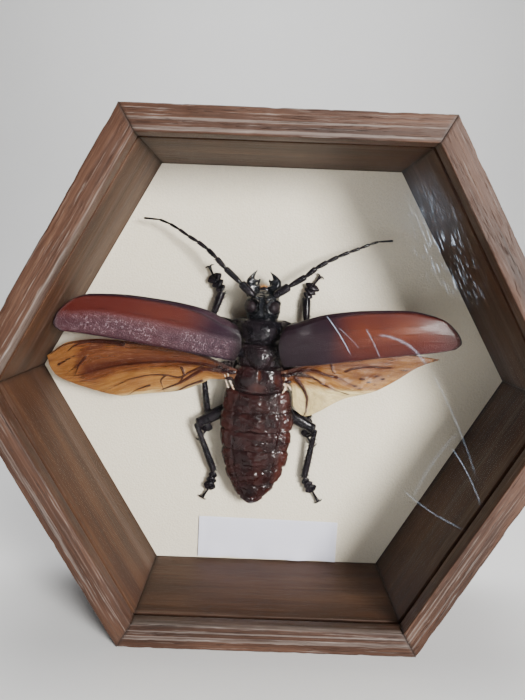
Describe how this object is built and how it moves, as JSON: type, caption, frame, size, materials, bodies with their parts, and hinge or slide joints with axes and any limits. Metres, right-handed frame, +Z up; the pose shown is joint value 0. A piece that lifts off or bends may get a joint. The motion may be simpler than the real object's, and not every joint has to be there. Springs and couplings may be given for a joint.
{
  "type": "mounted titan beetle in a display case",
  "caption": "Spread titan beetle, wings open, mounted in a hexagonal wooden case with a glass front and a bare label.",
  "frame": {"origin": "under the middle of the case's box, on the surface that it stands on", "axes": "+X to the right seen from the glass side, +Y from the glass to the back panel, +Z up; the beetle's head is up and its back faces the glass"},
  "size_m": [0.2918, 0.078, 0.2529],
  "materials": {
    "case_wood": "stained softwood with worn, scuffed corners and a satin sheen",
    "case_glass": "clear picture glass with faint smears, dust and scratches",
    "backing": "matt cream backing sheet with a fine pebbled grain",
    "back_board": "plain thin hardboard",
    "label_paper": "plain white paper, bare",
    "black_shell": "glossy black horny shell, finely pitted",
    "brown_shell": "glossy dark red-brown horny plates, mottled",
    "wing_case": "red-brown leathery wing case with a purple-grey sheen",
    "membrane": "thin translucent amber wing membrane with brown veins",
    "eye": "finely faceted dark eye, softly glossy"
  },
  "bodies": {
    "root": {"abdomen": "brown_shell", "antenna_left_base": "black_shell", "antenna_left_middle": "black_shell", "antenna_left_tip": "black_shell", "antenna_right_base": "black_shell", "antenna_right_middle": "black_shell", "antenna_right_tip": "black_shell", "back_panel": "back_board", "backing_sheet": "backing", "case_strip_bottom": "case_wood", "case_strip_bottom_left": "case_wood", "case_strip_bottom_right": "case_wood", "case_strip_top": "case_wood", "case_strip_top_left": "case_wood", "case_strip_top_right": "case_wood", "case_wall_bottom": "case_wood", "case_wall_bottom_left": "case_wood", "case_wall_bottom_right": "case_wood", "case_wall_top": "case_wood", "case_wall_top_left": "case_wood", "case_wall_top_right": "case_wood", "elytron_left": "wing_case", "elytron_right": "wing_case", "eye_left": "eye", "eye_right": "eye", "foreleg_left_femur": "black_shell", "foreleg_left_tarsus": "black_shell", "foreleg_left_tibia": "black_shell", "foreleg_right_femur": "black_shell", "foreleg_right_tarsus": "black_shell", "foreleg_right_tibia": "black_shell", "glass": "case_glass", "head": "black_shell", "hindleg_left_femur": "black_shell", "hindleg_left_tarsus": "black_shell", "hindleg_left_tibia": "black_shell", "hindleg_right_femur": "black_shell", "hindleg_right_tarsus": "black_shell", "hindleg_right_tibia": "black_shell", "hindwing_left": "membrane", "hindwing_right": "membrane", "label": "label_paper", "mandible_left": "black_shell", "mandible_right": "black_shell", "mesothorax": "black_shell", "metathorax": "brown_shell", "midleg_left_femur": "black_shell", "midleg_left_tarsus": "black_shell", "midleg_left_tibia": "black_shell", "midleg_right_femur": "black_shell", "midleg_right_tarsus": "black_shell", "midleg_right_tibia": "black_shell", "prothorax": "black_shell"}
  },
  "joints": []
}
